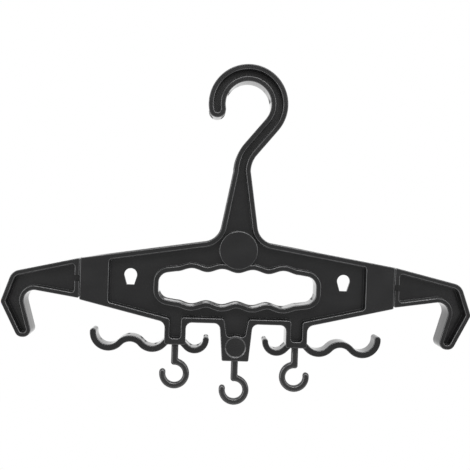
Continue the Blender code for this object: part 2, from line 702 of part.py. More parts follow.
def swivel_loop():
    """The outline of a swivel hook that opens to the left, from its collar down."""
    centre = -SWIVEL_RING_DROP
    outer = SWIVEL_RING_RADIUS + SWIVEL_RING_HALF
    inner = SWIVEL_RING_RADIUS - SWIVEL_RING_HALF
    ring_start = math.acos(SWIVEL_STEM_HALF / outer)
    outer_arc = arc_path(0.0, centre, outer, ring_start, SWIVEL_TIP_ANGLE, -1)
    inner_arc = arc_path(0.0, centre, inner, SWIVEL_TIP_ANGLE, SWIVEL_INNER_START, 1)
    tip = arc_path(0.0, centre, SWIVEL_RING_RADIUS, ring_start, SWIVEL_TIP_ANGLE, -1)
    corners = [(x, z, 0.0) for x, z, _, _ in outer_arc]
    corners[0] = (corners[0][0], corners[0][1], SWIVEL_THROAT_ROUND)
    corners += [(x, z, 0.0) for x, z in reversed(round_end(tip, SWIVEL_RING_HALF))]
    corners += [(x, z, 0.0) for x, z, _, _ in inner_arc]
    corners += [
        (-SWIVEL_STEM_HALF, centre + SWIVEL_HEEL_RISE, SWIVEL_HEEL_ROUND),
        (-SWIVEL_STEM_HALF, -PIECE_GAP, 0.0),
        (SWIVEL_STEM_HALF, -PIECE_GAP, 0.0),
    ]
    return list(reversed(rounded(corners)))


def make_swivel(name, side, opens, body):
    x, housing_drop = swivel_place(side)
    place = (x, 0.0, -housing_drop)
    mesh = moulding(swivel_loop(), SWIVEL_DEPTH, SWIVEL_EDGE)
    flip(mesh, -opens)
    hook = make_object(name, mesh, parent=body, location=place, material=plastic(name + "_plastic"))
    head_foot = SWIVEL_LIP + PIECE_GAP
    head_top = head_foot + HEAD_HEIGHT
    spigot = turned([
        (SPIGOT_RADIUS, -PIECE_GAP - SPIGOT_ROOT),
        (SPIGOT_RADIUS, head_foot),
        (HEAD_RADIUS, head_foot),
        (HEAD_RADIUS, head_foot + HEAD_RIM),
        (HEAD_TOP_RADIUS, head_top),
    ])
    combine(hook, name + "_spigot", spigot, "UNION")
    slit = block(-HEAD_SLIT / 2, HEAD_SLIT / 2, -HEAD_RADIUS - OVERRUN, HEAD_RADIUS + OVERRUN,
                 HEAD_SLIT_FOOT, head_top + OVERRUN)
    combine(hook, name + "_slit", slit, "DIFFERENCE")
    return hook


def main():
    clear_scene()
    body = make_body()
    make_arm("left_arm", -1, body)
    make_arm("right_arm", 1, body)
    for name, side, opens in SWIVELS:
        make_swivel(name, side, opens, body)


main()
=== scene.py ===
"""Looks of the gear hanger in black moulded plastic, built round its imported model.

Metres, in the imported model's frame: +Z up, X along the wings, front face towards -Y. Outlines are
drawn in X and Z from the middle of the big disc, which hangs RAIL_HEIGHT below the frame's origin.
Each piece repeats the size of the node that it stands for, with finer arcs, rounds and draft.
"""
import math

import bmesh
import bpy
import numpy as np
from mathutils import Matrix, Vector


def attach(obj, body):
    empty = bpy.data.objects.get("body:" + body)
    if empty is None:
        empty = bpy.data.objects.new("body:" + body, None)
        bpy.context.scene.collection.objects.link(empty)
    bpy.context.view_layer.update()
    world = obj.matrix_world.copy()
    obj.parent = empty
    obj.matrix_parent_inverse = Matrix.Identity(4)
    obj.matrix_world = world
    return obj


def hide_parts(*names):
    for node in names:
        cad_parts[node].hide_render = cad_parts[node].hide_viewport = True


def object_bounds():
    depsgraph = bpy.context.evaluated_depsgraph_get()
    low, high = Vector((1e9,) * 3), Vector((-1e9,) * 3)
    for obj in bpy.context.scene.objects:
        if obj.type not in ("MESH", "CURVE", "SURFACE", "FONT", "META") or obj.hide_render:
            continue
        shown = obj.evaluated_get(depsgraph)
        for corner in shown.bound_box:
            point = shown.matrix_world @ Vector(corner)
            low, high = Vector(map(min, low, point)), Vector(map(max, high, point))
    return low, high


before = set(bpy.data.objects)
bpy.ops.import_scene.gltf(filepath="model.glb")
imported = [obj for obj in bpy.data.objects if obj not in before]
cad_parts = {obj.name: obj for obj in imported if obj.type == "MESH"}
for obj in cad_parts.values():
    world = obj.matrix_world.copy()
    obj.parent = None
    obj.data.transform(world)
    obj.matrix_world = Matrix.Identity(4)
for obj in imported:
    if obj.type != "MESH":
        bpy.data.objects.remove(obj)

cad_box = [list(corner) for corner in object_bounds()]

MM = 0.001

# Whole body moulding
BODY_DEPTH = 20.0 * MM
WEB_DEPTH = 3.0 * MM
RIM_WIDTH = 5.1 * MM
RIM_EDGE = 1.0 * MM
LIP_EDGE = 1.1 * MM
POCKET_DRAFT = 0.35 * MM
FLOOR_ROUND = 0.3 * MM
WALL_DRAFT = 0.08 * MM
PARTING_HALF = 0.18 * MM
PARTING_STEP = 0.05 * MM
WEB_HOLE_EDGE = 0.35 * MM
FACET_DEPTH = 0.015 * MM
PIECE_GAP = 0.3 * MM
OVERRUN = 2.0 * MM
EDGE_STEPS = 5
LIP_STEPS = 5
FLOOR_STEPS = 2
SMOOTH_ANGLE = math.radians(35.0)

# Rail hook and neck
HOOK_OFFSET = 4.9 * MM
HOOK_HEIGHT = 143.2 * MM
HOOK_RADIUS = 30.6 * MM
HOOK_HALF = 8.4 * MM
HOOK_BREAK_ANGLE = math.radians(-39.2)
HOOK_TIP_ANGLE = math.radians(190.7)
NECK_BEND_RADIUS = 34.2 * MM
NECK_TOP_OFFSET = 1.0 * MM
NECK_FOOT_HALF = 20.0 * MM
NECK_FOOT_HEIGHT = 9.7 * MM
NECK_FILLET = 18.2 * MM

# Hand slot with finger waves; its middle is below the disc's centre
SLOT_DROP = 37.15 * MM
SLOT_HALF_HEIGHT = 16.5 * MM
SLOT_END_RUN = 17.15 * MM
SLOT_END_HALF_HEIGHT = 12.15 * MM
SLOT_END_ROUND = 10.1 * MM
WAVE_PITCH = 30.0 * MM
WAVE_HEIGHT = 1.75 * MM
WAVE_PERIODS = 4
WAVE_STEPS = 24

# Wings: half length, and the corners of the open end below the disc's centre
WING_HALF = 154.3 * MM
MOUTH_TOP_DROP = 12.0 * MM
MOUTH_FOOT_DROP = 52.9 * MM
MOUTH_ROUND = 1.6 * MM
LOWER_WEB = 6.7 * MM
WING_FOOT_STEP = 0.4 * MM

# Branches and middle block, which stand under the wings
BRANCH_INNER = 49.1 * MM
BRANCH_WIDTH = 21.1 * MM
BRANCH_LENGTH = 22.1 * MM
BRANCH_ROUND = 6.9 * MM
BRANCH_FOOT_ROUND = 2.0 * MM
CUTOUT_ROUND = 5.8 * MM
BLOCK_TOP_HALF = 16.3 * MM
BLOCK_FOOT_HALF = 13.15 * MM
BLOCK_LENGTH = 36.7 * MM
BLOCK_SOLID = 24.1 * MM
BLOCK_ROUND = 1.6 * MM

# Recess in both faces of the body, and the keyholes through its web
POCKET_ROUND = 3.0 * MM
KEYHOLE_PLACE_SHARE = 0.534
KEYHOLE_DROP = 27.7 * MM
KEYHOLE_RADIUS = 6.3 * MM
KEYHOLE_FOOT_HALF = 3.6 * MM
KEYHOLE_FOOT_DROP = 9.8 * MM
KEYHOLE_SHOULDER_ANGLE = math.radians(-20.0)

# Round boss over the neck's foot, and the pad and dish on the middle block
DISC_RADIUS = 18.9 * MM
DISC_RISE = 0.45 * MM
DISC_EDGE = 1.0 * MM
PAD_RADIUS = 11.5 * MM
PAD_MARGIN = 2.2 * MM
PAD_FILLET = 4.0 * MM
DISH_RADIUS = 10.6 * MM
DISH_DEPTH = 0.9 * MM
DISH_FLOOR_RADIUS = 9.1 * MM
DISH_STEPS = 8

# Fixed side hooks of the body, placed from the branch that carries them
SIDE_HOOK_DEPTH = 16.0 * MM
SIDE_HOOK_EDGE = 0.9 * MM
WAVY_HALF = 3.2 * MM
WAVY_RADIUS = 15.0 * MM
CREST_RADIUS = 14.1 * MM
WAVY_START = 11.85 * MM
WAVY_PITCH = 43.15 * MM
WAVY_RISE = 9.9 * MM
WAVY_ROOT_ANGLE = math.radians(-135.0)
WAVY_TIP_ANGLE = math.radians(2.2)
CURL_HALF = 3.05 * MM
CURL_RADIUS = 11.2 * MM
CURL_START = 8.7 * MM
CURL_RISE = 5.8 * MM
CURL_ROOT_ANGLE = math.radians(-45.0)
CURL_TIP_ANGLE = math.radians(-177.7)
ROOT_RUN = 7.5 * MM

# Sleeve in each wing end, which takes an arm's tongue
SLEEVE_ZONE = 28.3 * MM
SLEEVE_END_WALL = 2.9 * MM
SLEEVE_SIDE_WALL = 5.0 * MM
SLEEVE_FACE_WALL = 2.8 * MM

# End arms, measured out from their flange and down from its top corner
ARM_FACE_STEP = 0.4 * MM
ARM_FOOT_STEP = 1.25 * MM
ARM_RIM = 4.6 * MM
ARM_FLANGE = 5.0 * MM
ARM_ROOT_ROUND = 1.6 * MM
SHOULDER_REACH = 66.0 * MM
SHOULDER_FALL = 15.35 * MM
SHOULDER_ROUND = 12.1 * MM
KNEE_REACH = 76.5 * MM
KNEE_FALL = 45.1 * MM
KNEE_ROUND = 4.0 * MM
TIP_OUTER_REACH = 59.1 * MM
TIP_INNER_REACH = 43.9 * MM
TIP_FALL = 79.4 * MM
TIP_ROUND = 7.2 * MM
CROOK_REACH = 57.5 * MM
CROOK_RISE = 8.8 * MM
CROOK_ROUND = 10.1 * MM
ARM_POCKET_ROUND = 2.6 * MM
NOTCH_HEIGHT = 6.0 * MM
NOTCH_DEPTH = 5.0 * MM

# Tongue on each arm
TONGUE_END_CLEARANCE = 1.2 * MM
TONGUE_WALL = 3.0 * MM
TONGUE_LEAD = 2.0 * MM
TONGUE_EDGE = 0.6 * MM

# Swivel hooks, drawn from the housing's underside on their own axis
SWIVEL_RING_DROP = 30.25 * MM
SWIVEL_RING_RADIUS = 11.8 * MM
SWIVEL_RING_HALF = 3.2 * MM
SWIVEL_STEM_HALF = 3.5 * MM
SWIVEL_DEPTH = 6.3 * MM
SWIVEL_EDGE = 2.3 * MM
SWIVEL_HEEL_RISE = 9.6 * MM
SWIVEL_HEEL_ROUND = 2.5 * MM
SWIVEL_THROAT_ROUND = 1.8 * MM
SWIVEL_TIP_ANGLE = math.radians(-187.2)
SWIVEL_INNER_START = math.radians(97.0)
SPIGOT_RADIUS = 2.5 * MM
SPIGOT_ROOT = 1.5 * MM
HEAD_RADIUS = 4.0 * MM
HEAD_TOP_RADIUS = 2.8 * MM
HEAD_RIM = 0.9 * MM
HEAD_HEIGHT = 2.3 * MM
HEAD_SLIT = 1.1 * MM
HEAD_SLIT_FOOT = 0.3 * MM
SWIVEL_LIP = 2.3 * MM
SWIVEL_ROOF = 1.1 * MM
SWIVEL_CLEARANCE = 0.3 * MM
ROUND_SIDES = 48

# Where each swivel hook hangs: name, side of the axis (-1, 0 or 1) and the side it opens to
SWIVELS = (("left_swivel_hook", -1, -1), ("centre_swivel_hook", 0, -1), ("right_swivel_hook", 1, 1))

# The rail bears on the hook's inner side, straight above the axis of symmetry
HOOK_INNER_RADIUS = HOOK_RADIUS - HOOK_HALF
RAIL_HEIGHT = HOOK_HEIGHT + math.sqrt(HOOK_INNER_RADIUS ** 2 - HOOK_OFFSET ** 2)

# Where the hook's big arc ends, and the neck's top that its straight run and lower bend lead to
BREAK_X = HOOK_OFFSET + HOOK_RADIUS * math.cos(HOOK_BREAK_ANGLE)
BREAK_HEIGHT = HOOK_HEIGHT + HOOK_RADIUS * math.sin(HOOK_BREAK_ANGLE)
NECK_RUN = ((BREAK_X - NECK_TOP_OFFSET - NECK_BEND_RADIUS * (1 - math.cos(HOOK_BREAK_ANGLE)))
            / math.sin(-HOOK_BREAK_ANGLE))
NECK_TOP_HEIGHT = (BREAK_HEIGHT - NECK_RUN * math.cos(HOOK_BREAK_ANGLE)
                   + NECK_BEND_RADIUS * math.sin(HOOK_BREAK_ANGLE))

# Places that follow from the sizes above
SLOT_HALF = WAVE_PERIODS * WAVE_PITCH / 2 + SLOT_END_RUN
CUTOUT_DROP = SLOT_DROP + SLOT_HALF_HEIGHT + WAVE_HEIGHT + RIM_WIDTH + LOWER_WEB + RIM_WIDTH
WING_FOOT_DROP = CUTOUT_DROP + WING_FOOT_STEP
BRANCH_OUTER = BRANCH_INNER + BRANCH_WIDTH
BRANCH_MIDDLE = BRANCH_INNER + BRANCH_WIDTH / 2
BRANCH_DROP = CUTOUT_DROP + BRANCH_LENGTH
BLOCK_DROP = CUTOUT_DROP + BLOCK_LENGTH
PAD_DROP = BLOCK_DROP - PAD_RADIUS - PAD_MARGIN
CHAMBER_TOP = SWIVEL_LIP + 2 * PIECE_GAP + HEAD_HEIGHT
POCKET_HALF = WING_HALF - SLEEVE_ZONE
POCKET_BRANCH_DROP = BRANCH_DROP - CHAMBER_TOP - SWIVEL_ROOF
POCKET_BLOCK_DROP = BLOCK_DROP - BLOCK_SOLID
SLOT_RIM_HALF = SLOT_HALF + RIM_WIDTH
KEYHOLE_OFFSET = SLOT_RIM_HALF + KEYHOLE_PLACE_SHARE * (POCKET_HALF - SLOT_RIM_HALF)
SLEEVE_HALF_DEPTH = BODY_DEPTH / 2 - SLEEVE_FACE_WALL
SLEEVE_TOP_DROP = MOUTH_TOP_DROP + SLEEVE_SIDE_WALL
SLEEVE_FOOT_DROP = MOUTH_FOOT_DROP - SLEEVE_SIDE_WALL
SLEEVE_START = POCKET_HALF + SLEEVE_END_WALL
ARM_START = WING_HALF + PIECE_GAP
ARM_DEPTH = BODY_DEPTH - 2 * ARM_FACE_STEP
ARM_FOOT_DROP = MOUTH_FOOT_DROP - ARM_FOOT_STEP
NOTCH_MIDDLE_DROP = (MOUTH_TOP_DROP + ARM_FOOT_DROP) / 2

# A face whose normal has this share along Y counts as flat, and its normal gets this much more weight
FLAT_SHARE = 0.9999
FLAT_WEIGHT = 1.0

# Plastic: its colours between the flow marks and in them, and the much lighter colour on the edge rounds,
# which is partly wear and mostly a painted highlight. HOOK_ROUGHNESS is what the small hooks add, and
# POLISHED_GRAIN is the share of the grain that walls and rounds keep
PLASTIC_DARK = (0.009, 0.009, 0.0095, 1.0)
PLASTIC_LIGHT = (0.014, 0.014, 0.0145, 1.0)
# The edge colour below is mostly a painted highlight on the rounds, and partly wear
PLASTIC_EDGE_HIGHLIGHT_AND_WEAR = (0.11, 0.11, 0.113, 1.0)
PLASTIC_IOR = 1.54
ROUGHNESS_LOW = 0.18
ROUGHNESS_HIGH = 0.24
HOOK_ROUGHNESS = 0.1
GRAIN_ROUGHNESS = 0.03
WALL_POLISH = 0.13
POLISHED_GRAIN = 0.15
NOISE_REACH = (0.3, 0.7)
# Smudge levels that vary the painted edge highlight and wear along the rounds
EDGE_HIGHLIGHT_AND_WEAR_LEVELS = (0.4, 1.0)
GRAIN_SCALE = 1400.0
GRAIN_DETAIL = 2.0
GRAIN_DEPTH = 0.014 * MM
FLOW_SCALE = 26.0
FLOW_DETAIL = 3.0
FLOW_STRETCH = (1.0, 1.0, 3.0)
FLOW_DEPTH = 0.05 * MM
SMUDGE_SCALE = 60.0
SMUDGE_DETAIL = 4.0

# How much of a surface's normal lies along Y where walls turn into faces, where an edge round starts to take
# its painted highlight and wear, and where the grain is at its full depth
FACE_SHARE = (0.85, 0.99)
ROUND_SHARE = (0.15, 0.5)
GRAIN_SHARE = (0.95, 0.995)

# Studio: how white the room is to diffuse light, and to gloss in front, at the sides and behind. The
# turns are where a direction's Y or Z passes from one level to the next. Behind the hanger a dark band
# lies along the horizon for gloss, and HORIZON_END is where it ends, as squares of a direction's X
AMBIENT_LEVEL = 0.72
ROOM_TURNS = ((-0.9, -0.6), (0.6, 0.9))
ROOM_LEVELS = (0.4, 0.28, 1.44)
HORIZON_TURNS = ((-0.08, -0.05), (0.135, 0.15))
HORIZON_END = (0.02, 0.04)
HORIZON_LEVEL = 0.1
WHITE = (1.0, 1.0, 1.0, 1.0)

# Floor, which fades to plain white towards its rim
FLOOR_RADIUS = 1.4
FLOOR_SIDES = 96
FLOOR_FALL = 0.66
FLOOR_FADE_SHARE = 0.6
FLOOR_COLOUR = (0.86, 0.86, 0.86, 1.0)
FLOOR_ROUGHNESS = 0.8

# Soft boxes: name, place from the hanger's middle, width and height, radiance, and whether it lights
# gloss alone
LAMPS = (
    ("key_softbox", (0.1, -0.9, 0.85), (0.8, 0.5), 4.7, False),
    ("top_panel", (0.0, -0.84, 1.0), (1.0, 0.9), 2.5, True),
    ("top_left_panel", (-0.7, -0.84, 0.7), (0.9, 0.9), 1.0, True),
    ("top_right_panel", (0.7, -0.84, 0.7), (0.9, 0.9), 2.5, True),
    ("left_panel", (-1.1, -0.72, 0.1), (0.9, 1.3), 3.0, True),
    ("right_panel", (1.1, -0.7, 0.15), (0.9, 0.9), 2.0, True),
    ("foot_panel", (0.0, -0.75, -0.7), (1.0, 0.5), 1.5, True),
)

# Camera, which the photograph's frame of 470 by 470 pixels was fitted to
FRAME_PIXELS = 470
SENSOR_WIDTH = 36.0
FOCAL_PIXELS = 642.37
SHIFT_PIXELS = (21.54, -7.33)
CAMERA_PLACE = (-0.0338, -0.6371, 0.0315 - RAIL_HEIGHT)
CAMERA_YAW = -0.0134
CAMERA_PITCH = -0.0159
CAMERA_ROLL = -0.0329


# Plane geometry: a loop is a list of (x, z) points that runs counter-clockwise seen from the front

def arc_count(radius, angle):
    """How many chords keep an arc within the named facet depth."""
    step = 2 * math.acos(1 - FACET_DEPTH / radius) if radius > FACET_DEPTH else math.pi / 2
    return max(1, math.ceil(abs(angle) / step))


def mirrored(points):
    return [(-x, z) for x, z in reversed(points)]


def shifted(points, x_move, z_move):
    return [(x + x_move, z + z_move) for x, z in points]


def side_normals(points, closed):
    """The unit normals to the right of a path's sides."""
    ends = points[1:] + points[:1] if closed else points[1:]
    normals = []
    for (x_one, z_one), (x_two, z_two) in zip(points, ends):
        length = math.hypot(x_two - x_one, z_two - z_one)
        normals.append(((z_two - z_one) / length, (x_one - x_two) / length))
    return normals


def offset_path(points, distance, closed=True):
    """Move every side of a path to its right by a distance, keeping the corners mitred."""
    normals = side_normals(points, closed)
    moved = []
    for index, (x, z) in enumerate(points):
        near = [normals[index - 1], normals[index]] if closed else normals[max(index - 1, 0):index + 1]
        x_sum = sum(normal[0] for normal in near)
        z_sum = sum(normal[1] for normal in near)
        reach = distance * len(near) / (x_sum ** 2 + z_sum ** 2)
        moved.append((x + x_sum * reach, z + z_sum * reach))
    return moved


def rounded(corners, closed=True):
    """Turn (x, z, radius) corners into a path whose corners are arcs of those radii."""
    count = len(corners)
    path = []
    for index, (x, z, radius) in enumerate(corners):
        at_end = not closed and index in (0, count - 1)
        if radius <= 0 or at_end:
            path.append((x, z))
            continue
        x_back, z_back, _ = corners[index - 1]
        x_next, z_next, _ = corners[(index + 1) % count]
        back = math.atan2(z - z_back, x - x_back)
        ahead = math.atan2(z_next - z, x_next - x)
        turn = math.remainder(ahead - back, 2 * math.pi)
        side = math.copysign(1.0, turn)
        run = radius * math.tan(abs(turn) / 2)
        x_centre = x - run * math.cos(back) - side * radius * math.sin(back)
        z_centre = z - run * math.sin(back) + side * radius * math.cos(back)
        chords = arc_count(radius, turn)
        for step in range(chords + 1):
            angle = back - side * math.pi / 2 + turn * step / chords
            path.append((x_centre + radius * math.cos(angle), z_centre + radius * math.sin(angle)))
    return path


def arc_path(x_centre, z_centre, radius, start, end, side, count=None):
    """Points of an arc, each with the unit normal to the right of the way it runs.

    The side is 1 where the arc runs counter-clockwise, so that its right is its outside.
    """
    chords = count or arc_count(radius, end - start)
    path = []
    for step in range(chords + 1):
        angle = start + (end - start) * step / chords
        x_unit = math.cos(angle)
        z_unit = math.sin(angle)
        path.append((x_centre + radius * x_unit, z_centre + radius * z_unit, side * x_unit, side * z_unit))
    return path


def beside(path, distance):
    return [(x + x_normal * distance, z + z_normal * distance) for x, z, x_normal, z_normal in path]


def round_end(path, half):
    """The half circle round the last point of a path, from its right side to its left side."""
    x, z, x_normal, z_normal = path[-1]
    start = math.atan2(z_normal, x_normal)
    chords = arc_count(half, math.pi)
    points = []
    for step in range(1, chords):
        angle = start + math.pi * step / chords
        points.append((x + half * math.cos(angle), z + half * math.sin(angle)))
    return points


def band(path, half):
    """The outline of a bar of constant width along a path, square at its start, round at its end."""
    return beside(path, half) + round_end(path, half) + list(reversed(beside(path, -half)))


def circle(x_centre, z_centre, radius):
    chords = arc_count(radius, 2 * math.pi)
    points = []
    for step in range(chords):
        angle = 2 * math.pi * step / chords
        points.append((x_centre + radius * math.cos(angle), z_centre + radius * math.sin(angle)))
    return points


# Solids

def quarter_round(face_offset, wall_offset, face_y, wall_y, steps):
    """(offset, y) pairs that turn from a flat face into the wall beside it."""
    pairs = []
    for step in range(steps + 1):
        angle = math.pi / 2 * step / steps
        pairs.append((
            face_offset + (wall_offset - face_offset) * math.sin(angle),
            wall_y + (face_y - wall_y) * math.cos(angle),
        ))
    return pairs


def rings(mesh, loop, pairs):
    """One ring of vertices for each (offset, y) pair, joined by strips of faces."""
    made = []
    for offset, y in pairs:
        made.append([mesh.verts.new((x, y, z)) for x, z in offset_path(loop, offset)])
    for low, high in zip(made, made[1:]):
        for index in range(len(low)):
            following = (index + 1) % len(low)
            mesh.faces.new((low[index], low[following], high[following], high[index]))
    return made


def fill(mesh, boundary_rings):
    """Fill the flat region between an outer ring and the rings of its holes."""
    edges = []
    for ring in boundary_rings:
        for index, vertex in enumerate(ring):
            pair = (vertex, ring[(index + 1) % len(ring)])
            edges.append(mesh.edges.get(pair) or mesh.edges.new(pair))
    bmesh.ops.triangle_fill(mesh, use_beauty=True, use_dissolve=False, edges=edges)


def wall_pairs(sign, half, edge, draft):
    """(offset, y) pairs through a plate: a round edge, a drafted wall up to the parting bead, and back."""
    front = quarter_round(sign * (edge + draft), sign * draft, -half, edge - half, EDGE_STEPS)
    if draft:
        front.append((sign * PARTING_STEP, -PARTING_HALF))
    middle = [(0.0, 0.0)]
    return front + middle + [(offset, -y) for offset, y in reversed(front)]


def pocket_pairs(way, half, web):
    """(offset, y) pairs from a face down into a pocket: a round lip, a drafted wall, a floor fillet."""
    pairs = quarter_round(LIP_EDGE, 0.0, way * half, way * (half - LIP_EDGE), LIP_STEPS)
    for step in range(FLOOR_STEPS + 1):
        angle = math.pi / 2 * step / FLOOR_STEPS
        offset = -POCKET_DRAFT - FLOOR_ROUND * (1 - math.cos(angle))
        pairs.append((offset, way * (web + FLOOR_ROUND - FLOOR_ROUND * math.sin(angle))))
    return pairs


def moulding(outline, depth, edge, pockets=(), draft=WALL_DRAFT):
    """A plate with round edges, lying in the X and Z plane with its mid-plane at y = 0.

    Each pocket is (loop, islands, web holes): it is sunk in both faces down to the web, an island is
    (loop, its holes) and stands up to the face again.
    """
    mesh = bmesh.new()
    half = depth / 2
    web = WEB_DEPTH / 2

    def through(loop, sign, reach, curve, slope):
        made = rings(mesh, loop, wall_pairs(sign, reach, curve, slope))
        return made[0], made[-1]

    outer_ends = through(outline, -1, half, edge, draft)
    pocket_parts = []
    for loop, islands, web_holes in pockets:
        web_ends = [through(web_loop, 1, web, WEB_HOLE_EDGE, 0.0) for web_loop in web_holes]
        island_holes = [[through(inner, 1, half, edge, draft) for inner in inners] for _, inners in islands]
        pocket_parts.append((loop, islands, web_ends, island_holes))

    for end, way in ((0, -1), (1, 1)):
        face_rings = [outer_ends[end]]
        pairs = pocket_pairs(way, half, web)
        for loop, islands, web_ends, island_holes in pocket_parts:
            made = rings(mesh, loop, pairs)
            face_rings.append(made[0])
            floor_rings = [made[-1]] + [ends[end] for ends in web_ends]
            for (island, _), inner_ends in zip(islands, island_holes):
                raised = rings(mesh, island, [(-offset, y) for offset, y in pairs])
                floor_rings.append(raised[-1])
                fill(mesh, [raised[0]] + [ends[end] for ends in inner_ends])
            fill(mesh, floor_rings)
        fill(mesh, face_rings)
    return mesh


def footed_disc(radius, depth, edge):
    """A round boss whose wall runs out into the web with a fillet, at the front and at the back."""
    mesh = bmesh.new()
    half = depth / 2
    web = WEB_DEPTH / 2
    front = quarter_round(-edge, 0.0, -half, edge - half, EDGE_STEPS)
    for step in range(FLOOR_STEPS + 1):
        angle = math.pi / 2 * step / FLOOR_STEPS
        foot = FLOOR_ROUND * (1 - math.sin(angle))
        front.append((FLOOR_ROUND * (1 - math.cos(angle)), -foot - web))
    made = rings(mesh, circle(0.0, 0.0, radius), front + [(offset, -y) for offset, y in reversed(front)])
    mesh.faces.new(made[0])
    mesh.faces.new(made[-1])
    return mesh


def turned(profile, sides=ROUND_SIDES):
    """A solid of revolution about Z from (radius, z) points, lowest first, closed on the axis."""
    mesh = bmesh.new()
    rows = []
    for radius, z in profile:
        row = []
        for step in range(sides):
            angle = 2 * math.pi * step / sides
            row.append(mesh.verts.new((radius * math.cos(angle), radius * math.sin(angle), z)))
        rows.append(row)
    for low, high in zip(rows, rows[1:]):
        for index in range(sides):
            following = (index + 1) % sides
            mesh.faces.new((low[index], low[following], high[following], high[index]))
    mesh.faces.new(rows[0])
    mesh.faces.new(rows[-1])
    return mesh


def block(x_low, x_high, y_low, y_high, z_low, z_high):
    mesh = bmesh.new()
    bmesh.ops.create_cube(mesh, size=1.0)
    for vertex in mesh.verts:
        vertex.co.x = x_high if vertex.co.x > 0 else x_low
        vertex.co.y = y_high if vertex.co.y > 0 else y_low
        vertex.co.z = z_high if vertex.co.z > 0 else z_low
    return mesh


def make_object(name, mesh, location=(0.0, 0.0, 0.0)):
    bmesh.ops.recalc_face_normals(mesh, faces=mesh.faces)
    if mesh.calc_volume(signed=True) < 0:
        bmesh.ops.reverse_faces(mesh, faces=mesh.faces)
    data = bpy.data.meshes.new(name)
    mesh.to_mesh(data)
    mesh.free()
    made = bpy.data.objects.new(name, data)
    bpy.context.scene.collection.objects.link(made)
    made.location = location
    return made


def boolean(target, operation, helpers):
    """Join or cut the target with all the helpers at once, then drop them."""
    group = bpy.data.collections.new(target.name + "_" + operation.lower())
    for helper in helpers:
        group.objects.link(helper)
    modifier = target.modifiers.new(operation, "BOOLEAN")
    modifier.operation = operation
    modifier.solver = "EXACT"
    modifier.operand_type = "COLLECTION"
    modifier.collection = group
    bpy.context.view_layer.update()
    evaluated = target.evaluated_get(bpy.context.evaluated_depsgraph_get())
    target.data = bpy.data.meshes.new_from_object(evaluated)
    target.modifiers.clear()
    for helper in helpers:
        bpy.data.objects.remove(helper, do_unlink=True)
    bpy.data.collections.remove(group)


def moulded_normals(data):
    """Shade smoothly and keep the flats flat: a corner takes the area-weighted mean of nearby faces.

    A flat face, square to Y, outweighs all the rounds that run out into it.
    """
    data.shade_smooth()
    normals = np.array([polygon.normal[:] for polygon in data.polygons])
    weights = np.array([polygon.area for polygon in data.polygons])
    weights[np.abs(normals[:, 1]) > FLAT_SHARE] += FLAT_WEIGHT
    around = [[] for _ in data.vertices]
    for polygon in data.polygons:
        for vertex in polygon.vertices:
            around[vertex].append(polygon.index)
    limit = math.cos(SMOOTH_ANGLE)
    split = []
    for polygon in data.polygons:
        own = normals[polygon.index]
        for vertex in polygon.vertices:
            near = [index for index in around[vertex] if normals[index] @ own > limit]
            mean = weights[near] @ normals[near]
            split.append(mean / np.linalg.norm(mean))
    data.normals_split_custom_set(split)


# Outlines of the body

def hook_path():
    """The middle line of the rail hook, from the neck's top up, over and down to its tip."""
    bend_x = NECK_TOP_OFFSET + NECK_BEND_RADIUS
    bend_end = math.pi + HOOK_BREAK_ANGLE
    lower = arc_path(bend_x, NECK_TOP_HEIGHT, NECK_BEND_RADIUS, math.pi, bend_end, -1)
    chords = arc_count(HOOK_RADIUS + HOOK_HALF, HOOK_TIP_ANGLE - HOOK_BREAK_ANGLE)
    upper = arc_path(HOOK_OFFSET, HOOK_HEIGHT, HOOK_RADIUS, HOOK_BREAK_ANGLE, HOOK_TIP_ANGLE, 1, chords)
    return lower + upper


def body_side(inset, neck_half, wing_half, branch_drop, block_drop, rounds):
    """The right side of the body's outline, from the block's foot out and up to the neck's top."""
    neck_round, mouth_round, wing_round, foot_round, cutout_round, block_round = rounds
    corners = [
        (0.0, -block_drop, 0.0),
        (BLOCK_FOOT_HALF, -block_drop, block_round),
        (BLOCK_TOP_HALF, -CUTOUT_DROP, cutout_round),
        (BRANCH_INNER, -CUTOUT_DROP, cutout_round),
        (BRANCH_INNER, -branch_drop, foot_round),
        (BRANCH_OUTER, -branch_drop, foot_round),
        (BRANCH_OUTER, -WING_FOOT_DROP, wing_round),
        (wing_half, wing_line(wing_half, WING_FOOT_DROP, BRANCH_OUTER, MOUTH_FOOT_DROP), mouth_round),
        (wing_half, wing_line(wing_half, -NECK_FOOT_HEIGHT, NECK_FOOT_HALF, MOUTH_TOP_DROP), mouth_round),
        (NECK_FOOT_HALF, NECK_FOOT_HEIGHT, neck_round),
        (neck_half, NECK_TOP_HEIGHT, 0.0),
    ]
    places = offset_path([(x, z) for x, z, _ in corners], -inset, closed=False)
    return rounded([(x, z, radius) for (x, z), (_, _, radius) in zip(places, corners)], closed=False)[1:-1]


def body_loop(inset, *places_and_rounds):
    """The body's outline, or one set in from it, with the wing ends and feet at the places given.

    The neck's top stands a little to the right, so the two sides differ above its foot.
    """
    right = body_side(inset, HOOK_HALF + NECK_TOP_OFFSET, *places_and_rounds)
    left = body_side(inset, HOOK_HALF - NECK_TOP_OFFSET, *places_and_rounds)
    return right + band(hook_path(), HOOK_HALF - inset) + mirrored(left)


def wing_line(x, root_drop, root_offset, mouth_drop):
    """Height of a wing's straight edge at x, through its root and its corner at the mouth."""
    return -root_drop + (root_drop - mouth_drop) * (x - root_offset) / (WING_HALF - root_offset)


def body_outline():
    rounds = (NECK_FILLET, MOUTH_ROUND, BRANCH_ROUND, BRANCH_FOOT_ROUND, CUTOUT_ROUND, BLOCK_ROUND)
    return body_loop(0.0, WING_HALF, BRANCH_DROP, BLOCK_DROP, rounds)


def pocket_outline():
    rounds = (NECK_FILLET + RIM_WIDTH,) + (POCKET_ROUND,) * 5
    return pad_edge() + body_loop(RIM_WIDTH, POCKET_HALF + RIM_WIDTH, POCKET_BRANCH_DROP + RIM_WIDTH,
                                  POCKET_BLOCK_DROP + RIM_WIDTH, rounds)


